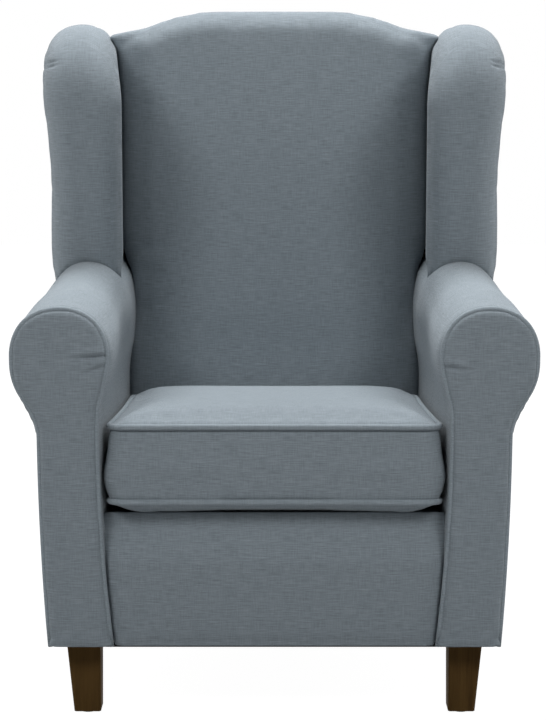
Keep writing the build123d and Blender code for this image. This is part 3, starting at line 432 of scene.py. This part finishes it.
# Arm facings: scroll-shaped boards under thin foam and linen, pinned on over the front of each arm.
# The linen pulls into short creases at the inner edge of the scroll, two on the left and one on the right.
FACING_VOXEL = 0.004
FACING_SWELL = 0.002
RIM_GROWTH = 0.0052  # over the piping
FOOT_SPREAD = 0.0045
FOOT_MIDDLE = 0.287
FOOT_HALF_WIDTH = 0.043
CREASE_WIDTH = 0.0030
RIDGE_WIDTH = 0.0055
RIDGE_HEIGHT = 0.007  # of the puffed ridge above its crease
RIDGE_SHARE = 0.7

right_facing = pad_cover("right_arm_facing", "right_facing_cover", FACING_VOXEL, FACING_SWELL, passes=1)
points = points_of(right_facing)
rim = points_of(right_facing, "normal")
foot = 1 - rise(points[:, UPRIGHT], 0.110, 0.126)
foot_side = np.clip((points[:, ACROSS] - FOOT_MIDDLE) / FOOT_HALF_WIDTH, -1, 1)
points[:, ACROSS] += RIM_GROWTH * rim[:, ACROSS] + FOOT_SPREAD * foot * foot_side
points[:, UPRIGHT] += RIM_GROWTH * rim[:, UPRIGHT] * (1 - foot)
set_points(right_facing, points)
widen_scroll(right_facing)
left_facing = mirrored(right_facing, "left_facing_cover")


def bell(offset, width):
    """1 at no offset, falling to almost 0 at twice the width."""
    return np.exp(-((offset / width) ** 2))


def pull_crease(piece, start, end, depth):
    """Press a crease into a facing, from its inner edge towards the middle, dying out.

    The start and the end are given by their distance from the chair's middle and their height.
    """
    points = points_of(piece)
    along = (np.abs(points[:, ACROSS]) - start[0]) / (end[0] - start[0])
    above = points[:, UPRIGHT] - (start[1] + (end[1] - start[1]) * along)
    fold = bell(above, CREASE_WIDTH) - RIDGE_SHARE * bell(above - RIDGE_HEIGHT, RIDGE_WIDTH)
    points[:, DEEP] += depth * fold * rise(along, -0.12, 0.05) * (1 - rise(along, 0.3, 1.0))
    set_points(piece, points)


pull_crease(left_facing, start=(0.235, 0.5515), end=(0.310, 0.5465), depth=0.0042)
pull_crease(left_facing, start=(0.239, 0.5385), end=(0.290, 0.5215), depth=0.0030)
pull_crease(right_facing, start=(0.239, 0.5360), end=(0.300, 0.5280), depth=0.0034)
upholstered(right_facing, fabric, node="right_arm_facing")
upholstered(left_facing, fabric, node="left_arm_facing")


# Facing piping: cord in a strip of the linen cut on the cross, sewn into the seam round each facing.
# Each one is a copy of its solid that follows the widened scroll, and its linen is painted lighter than
# the cover's.
# Painted light: the piping's linen is the cover's linen made lighter, to stand in for light on the cords.
PIPING_SLATE_PAINTED_LIGHT = (0.165, 0.196, 0.220, 1)
PIPING_PALE_PAINTED_LIGHT = (0.285, 0.330, 0.362, 1)
lightened_piping_linen = linen("piping_linen_painted_light", PIPING_SLATE_PAINTED_LIGHT, PIPING_PALE_PAINTED_LIGHT, OBJECT_PLACE)
right_cord = solid_copy("right_facing_piping", "right_facing_cord")
widen_scroll(right_cord)
left_cord = mirrored(right_cord, "left_facing_cord")
for cord, node in ((right_cord, "right_facing_piping"), (left_cord, "left_facing_piping")):
    cord.data.materials.append(lightened_piping_linen)
    cord.data.shade_smooth()
    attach(cord, "chair")
    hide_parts(node)


# Wing pads: thick foam rolled over the edge of each wing board, covered in linen that is gathered
# at the top corner and tacked down along the outside panel.
WING_VOXEL = 0.006
WING_SWELL = 0.004
NOSE_FULLNESS = 0.0065
SIDE_EASE = 0.011  # of the inner face, outwards beside the back
TOP_EASE = 0.007
CORNER_DEPTH = 0.063  # middle of the rounded top corner
CORNER_HEIGHT = 0.897
FOLDS = ((80, 0.7), (90, 0.5), (100, 0.7), (110, 0.5))  # degrees round the corner, share of the depth
TUCKS = ((0.966, 1.0), (0.9725, 0.8))  # height at the outer edge, share of the depth
OUTER_EDGE = 0.35
TUCK_SLOPE = 0.2
FOLD_WIDTH = 0.0028
TUCK_WIDTH = 0.0022
PLEAT_DEPTH = 0.0030

right_wing = pad_cover("right_wing_pad", "right_wing_cover", WING_VOXEL, WING_SWELL)
points = points_of(right_wing)
x, y, z = points.T
top_and_foot = rise(z, 0.80, 0.95) + 1 - rise(z, 0.66, 0.80)
nose = NOSE_FULLNESS * top_and_foot * (1 - rise(y, 0.03, 0.09))
inside = SIDE_EASE * rise(y, -0.05, 0.22) * rise(z, 0.58, 0.64) + TOP_EASE * rise(z, 0.90, 1.0)
points[:, ACROSS] += nose * rise(x, 0.30, 0.35) + inside * (1 - rise(x, 0.27, 0.345))
set_points(right_wing, points)


def gathers(x, y, z):
    """Pleats where the linen is drawn round the wing's top corner, running in from the outside panel."""
    up = z - CORNER_HEIGHT
    forward = CORNER_DEPTH - y
    radius = np.hypot(up, forward)
    angle = np.degrees(np.arctan2(up, forward))
    folds = sum(share * bell((angle - turn) * np.radians(radius), FOLD_WIDTH) for turn, share in FOLDS)
    slant = z + TUCK_SLOPE * (x - OUTER_EDGE)
    tucks = sum(share * bell(slant - height, TUCK_WIDTH) for height, share in TUCKS)
    pleats = folds * rise(radius, 0.06, 0.10) + tucks * (1 - rise(y, 0.0, 0.035))
    return -PLEAT_DEPTH * rise(x, 0.343, 0.358) * pleats


sculpt(right_wing, gathers)
left_wing = mirrored(right_wing, "left_wing_cover")
upholstered(right_wing, fabric, node="right_wing_pad")
upholstered(left_wing, fabric, node="left_wing_pad")


# Back pad: deep crowned foam between the wings, its serpentine top carried over the crest rail.
# The linen is drawn back at its sides, into the gap beside each wing, and tacked to the back posts.
BACK_VOXEL = 0.008
BACK_SWELL = 0.006
BACK_REACH = 0.50
EDGE_FALL = 0.015
MIDDLE_CROWN = 0.003


def widen_back(piece, reach):
    """Ease the back's sides outwards with the wings, above the arms, up to a reach from the middle."""
    points = points_of(piece)
    across = np.abs(points[:, ACROSS])
    height = points[:, UPRIGHT]
    outwards = (SIDE_EASE + TOP_EASE * rise(height, 0.90, 1.0)) * rise(height, 0.60, 0.68)
    outwards *= rise(across, 0.22, 0.275) * (1 - rise(across, reach - 0.08, reach))
    points[:, ACROSS] += np.sign(points[:, ACROSS]) * outwards
    set_points(piece, points)


back = pad_cover("back_pad", "back_cover", BACK_VOXEL, BACK_SWELL)
widen_back(back, BACK_REACH)
points = points_of(back)
across = np.abs(points[:, ACROSS])
height = points[:, UPRIGHT]
fall = EDGE_FALL * rise(across, 0.205, 0.268) - MIDDLE_CROWN * (1 - rise(across, 0.08, 0.25))
points[:, DEEP] += fall * rise(height, 0.47, 0.56) * (1 - rise(height, 0.80, 1.02))
set_points(back, points)
upholstered(back, fabric, node="back_pad")


# Outside panels: linen drawn flat over card on the outer side of each arm and wing, its edges turned
# in and blind-stitched. Each cover is thin, full in the middle and rolled at its edges.
OUTSIDE_LEAN = math.radians(2)
OUTSIDE_VOXEL = 0.009
PANEL_STRETCH = 6.0


def thin_cover(node, name, normal, voxel):
    """Cover of a thin panel: remeshed while stretched along its normal, so its edges keep their form."""
    piece = solid_copy(node, name)
    piece.data.transform(Matrix.Scale(PANEL_STRETCH, 4, normal))
    ease(piece, voxel, passes=4)
    piece.data.transform(Matrix.Scale(1 / PANEL_STRETCH, 4, normal))
    return piece


outside_normal = Vector((math.cos(OUTSIDE_LEAN), 0, -math.sin(OUTSIDE_LEAN)))
right_outside = thin_cover("right_outside_panel", "right_outside_cover", outside_normal, OUTSIDE_VOXEL)
left_outside = mirrored(right_outside, "left_outside_cover")
upholstered(right_outside, fabric, node="right_outside_panel")
upholstered(left_outside, fabric, node="left_outside_panel")


# Outside back: one sheet of linen drawn flat over card behind the back pad, following its serpentine
# top, with its edges blind-stitched. It is widened with the pad, so that the two still meet.
BACK_RECLINE = math.radians(10)
OUTSIDE_BACK_VOXEL = 0.010
OUTSIDE_BACK_REACH = 0.36
back_normal = Vector((0, math.cos(BACK_RECLINE), -math.sin(BACK_RECLINE)))
outside_back = thin_cover("outside_back", "outside_back_cover", back_normal, OUTSIDE_BACK_VOXEL)
widen_back(outside_back, OUTSIDE_BACK_REACH)
upholstered(outside_back, fabric, node="outside_back")


# Dust cover: thin black non-woven cloth, pressed together in small dots.
# It is stapled under the frame between the legs, and hides the webbing from below.
FLEECE_BLACK = (0.006, 0.006, 0.007, 1)
FLEECE_GREY = (0.05, 0.05, 0.052, 1)
lining, lining_shader, tone, place = new_finish("non_woven", OBJECT_PLACE, {"Roughness": 0.95})
fleece = tone.noise(place, (700, 700, 700), detail=4.0, roughness=0.7)
dots = tone.noise(place, (160, 160, 160), detail=1.0).within(0.52, 0.6)
(0.6 * fleece + 0.3 * dots).tint(FLEECE_BLACK, FLEECE_GREY).feed(lining_shader, "Base Color")
(fleece - 0.4 * dots).emboss(lining_shader, distance=0.0004, strength=0.6)
dress("dust_cover", lining)


# Legs: square tapered blocks of beech, stained a dark walnut brown with a dull lacquer.
# Each one is screwed up to the frame on a hanger bolt, and stands on a glide.
WALNUT_DARK = (0.038, 0.0207, 0.0072, 1)
WALNUT_LIGHT = (0.108, 0.062, 0.0205, 1)
LACQUER_GLOSS = 0.03
walnut = wood("dark_walnut", WALNUT_DARK, WALNUT_LIGHT, UPRIGHT, LACQUER_GLOSS)
for side in ("left", "right"):
    dress(f"{side}_front_leg", walnut)
    dress(f"{side}_rear_leg", walnut)


# Leg bolts and inserts: studs of zinc-plated steel, and the threaded bushes that take them.
# A bush is driven into the rail above each leg, and a stud holds the leg to it.
ZINC_DARK = (0.42, 0.43, 0.44, 1)
ZINC_LIGHT = (0.66, 0.67, 0.68, 1)
zinc, zinc_shader, tone, place = new_finish("zinc", OBJECT_PLACE, {"Metallic": 1.0})
scratches = tone.noise(place, (900, 900, 40), detail=4.0)
scratches.tint(ZINC_DARK, ZINC_LIGHT).feed(zinc_shader, "Base Color")
(0.25 + 0.25 * scratches).feed(zinc_shader, "Roughness")
dress("leg_bolts", zinc)
dress("leg_inserts", zinc)


# Leg glides: discs of black nylon nailed under the legs, which keep the wood off the floor.
# Sliding on the floor has scuffed them.
NYLON_BLACK = (0.03, 0.03, 0.03, 1)
NYLON_SCUFFED = (0.09, 0.088, 0.085, 1)
nylon, nylon_shader, tone, place = new_finish("nylon", OBJECT_PLACE, {})
scuffs = tone.noise(place, (300, 300, 300), detail=5.0, roughness=0.7)
scuffs.tint(NYLON_BLACK, NYLON_SCUFFED).feed(nylon_shader, "Base Color")
(0.35 + 0.3 * scuffs).feed(nylon_shader, "Roughness")
dress("leg_glides", nylon)


# Cushion core and zip: a block of pale foam, and the closed zip through which it is put in.
# The zip is a woven tape with moulded teeth, sewn into the back boxing of the cover.
FOAM_DARK = (0.62, 0.55, 0.36, 1)
FOAM_LIGHT = (0.80, 0.74, 0.56, 1)
foam, foam_shader, tone, place = new_finish("cushion_foam", OBJECT_PLACE, {"Roughness": 0.95})
cells = tone.noise(place, (420, 420, 420), detail=3.0)
cells.tint(FOAM_DARK, FOAM_LIGHT).feed(foam_shader, "Base Color")
cells.emboss(foam_shader, distance=0.0006, strength=0.5)
dress("cushion_foam", foam)

TAPE_DARK = (0.03, 0.035, 0.04, 1)
TEETH_GREY = (0.12, 0.13, 0.14, 1)
tape, tape_shader, tone, place = new_finish("zip_tape", OBJECT_PLACE, {"Roughness": 0.7})
teeth = tone.noise(place, (500, 60, 60), detail=1.0).within(0.45, 0.55)
teeth.tint(TAPE_DARK, TEETH_GREY).feed(tape_shader, "Base Color")
teeth.emboss(tape_shader, distance=0.0008, strength=0.6)
dress("cushion_zip", tape)


# Cushion cover: a loose box of linen with its fibre wrap, filled by the foam core.
# Its top and its underside are sewn to the boxing with piping in both seams.
CUSHION_VOXEL = 0.006
CUSHION_SWELL = 0.005
CUSHION_GIVE = 0.002
SIDE_BULGE = 0.007
BULGE_HEIGHT = 0.365
BULGE_SPREAD = 0.028
# The cushion's piping gets the same linen, painted lighter as light on the cords.
dress("cushion_top_piping", lightened_piping_linen)
dress("cushion_low_piping", lightened_piping_linen)
cushion = solid_copy("cushion_cover", "cushion")


def keep_outer_shell():
    """Delete the room inside the cover that holds the foam."""
    bpy.ops.mesh.select_all(action="DESELECT")
    bpy.ops.object.mode_set(mode="OBJECT")
    heights = points_of(cushion)[:, UPRIGHT]
    cushion.data.vertices[int(heights.argmax())].select = True
    bpy.ops.object.mode_set(mode="EDIT")
    bpy.ops.mesh.select_linked()
    bpy.ops.mesh.select_all(action="INVERT")
    bpy.ops.mesh.delete(type="VERT")


in_edit_mode(cushion, keep_outer_shell)
ease(cushion, CUSHION_VOXEL, passes=3)
swell(cushion, CUSHION_SWELL, CUSHION_GIVE)
divide(cushion)
points = points_of(cushion)
x, y, z = points.T
bulge = SIDE_BULGE * rise(np.abs(x), 0.222, 0.240) * bell(z - BULGE_HEIGHT, BULGE_SPREAD)
points[:, ACROSS] += np.sign(x) * bulge * (1 - rise(y, -0.34, -0.22))
set_points(cushion, points)
upholstered(cushion, fabric, node="cushion_cover", body="cushion")


# Studio: a white paper floor that keeps the chair's shadow, a large soft box overhead, one at each
# front corner, and one at each side for the edges of the wings.
# The camera stands in front at about the height of the wings, looking slightly down.
FLOOR_SIZE = 14
PAPER_GREY = (0.45, 0.45, 0.45, 1)
GLOW_STRENGTH = 1.23
GLOW_SHARE = 0.8
SURROUNDING_LIGHT = 0.06
bpy.ops.object.select_all(action="DESELECT")
bpy.ops.mesh.primitive_plane_add(size=FLOOR_SIZE, location=(0, 0, 0))
floor = bpy.context.active_object
floor.name = "studio_floor"


def seen_directly(tone):
    """1 where the camera looks, straight or by reflection or through glass, and 0 for other light."""
    straight = tone.node("ShaderNodeLightPath", {}, {}, "Is Camera Ray")
    reflected = tone.node("ShaderNodeLightPath", {}, {}, "Is Glossy Ray")
    through = tone.node("ShaderNodeLightPath", {}, {}, "Is Transmission Ray")
    return tone.math("MAXIMUM", tone.math("MAXIMUM", straight, reflected), through)


paper = bpy.data.materials.new("white_paper")
paper.use_nodes = True
tone = Tone(paper.node_tree)
matte = paper.node_tree.nodes["Principled BSDF"]
matte.inputs["Base Color"].default_value = PAPER_GREY
matte.inputs["Roughness"].default_value = 0.9
lit_paper = Tone(paper.node_tree, matte.outputs["BSDF"])
glow = tone.node("ShaderNodeEmission", {}, {"Strength": GLOW_STRENGTH})
layers = {0: GLOW_SHARE * seen_directly(tone), 1: lit_paper, 2: glow}
surface = tone.node("ShaderNodeMixShader", {}, layers)
surface.feed(paper.node_tree.nodes["Material Output"], "Surface")
floor.data.materials.append(paper)

world = bpy.data.worlds.new("studio")
bpy.context.scene.world = world
world.use_nodes = True
tone = Tone(world.node_tree)
backdrop = world.node_tree.nodes["Background"]
backdrop.inputs["Color"].default_value = (1, 1, 1, 1)
backdrop_light = SURROUNDING_LIGHT + (1 - SURROUNDING_LIGHT) * seen_directly(tone)
backdrop_light.feed(backdrop, "Strength")


def softbox(name, place, aim, size, power):
    """A rectangular lamp at a place, turned to an aim."""
    lamp = bpy.data.lights.new(name, "AREA")
    lamp.shape = "RECTANGLE"
    lamp.size, lamp.size_y = size
    lamp.energy = power
    light = bpy.data.objects.new(name, lamp)
    bpy.context.scene.collection.objects.link(light)
    light.location = place
    light.rotation_euler = (Vector(aim) - Vector(place)).to_track_quat("-Z", "Y").to_euler()


softbox("top_box", place=(0, 0.85, 3.6), aim=(0, 0.3, 0.6), size=(2.0, 1.0), power=166)
for side, sign in (("left", -1), ("right", 1)):
    corner = (1.4 * sign, -2.2, 2.6)
    softbox(f"{side}_front_box", place=corner, aim=(0, -0.2, 0.6), size=(0.9, 0.8), power=34)
for side, sign in (("left", -1), ("right", 1)):
    beside = (2.6 * sign, 0.45, 1.3)
    softbox(f"{side}_rim_box", place=beside, aim=(0, 0.1, 0.8), size=(0.7, 1.2), power=28)

CAMERA_PITCH = 8.955  # degrees below level
camera = bpy.data.cameras.new("camera")
camera.sensor_width = 36
camera.lens = 95.4
eye = bpy.data.objects.new("camera", camera)
bpy.context.scene.collection.objects.link(eye)
eye.location = (-0.0023, -3.128, 0.975)
eye.rotation_euler = (math.radians(90 - CAMERA_PITCH), 0, 0)
bpy.context.scene.camera = eye
bpy.context.scene.view_settings.view_transform = "Standard"
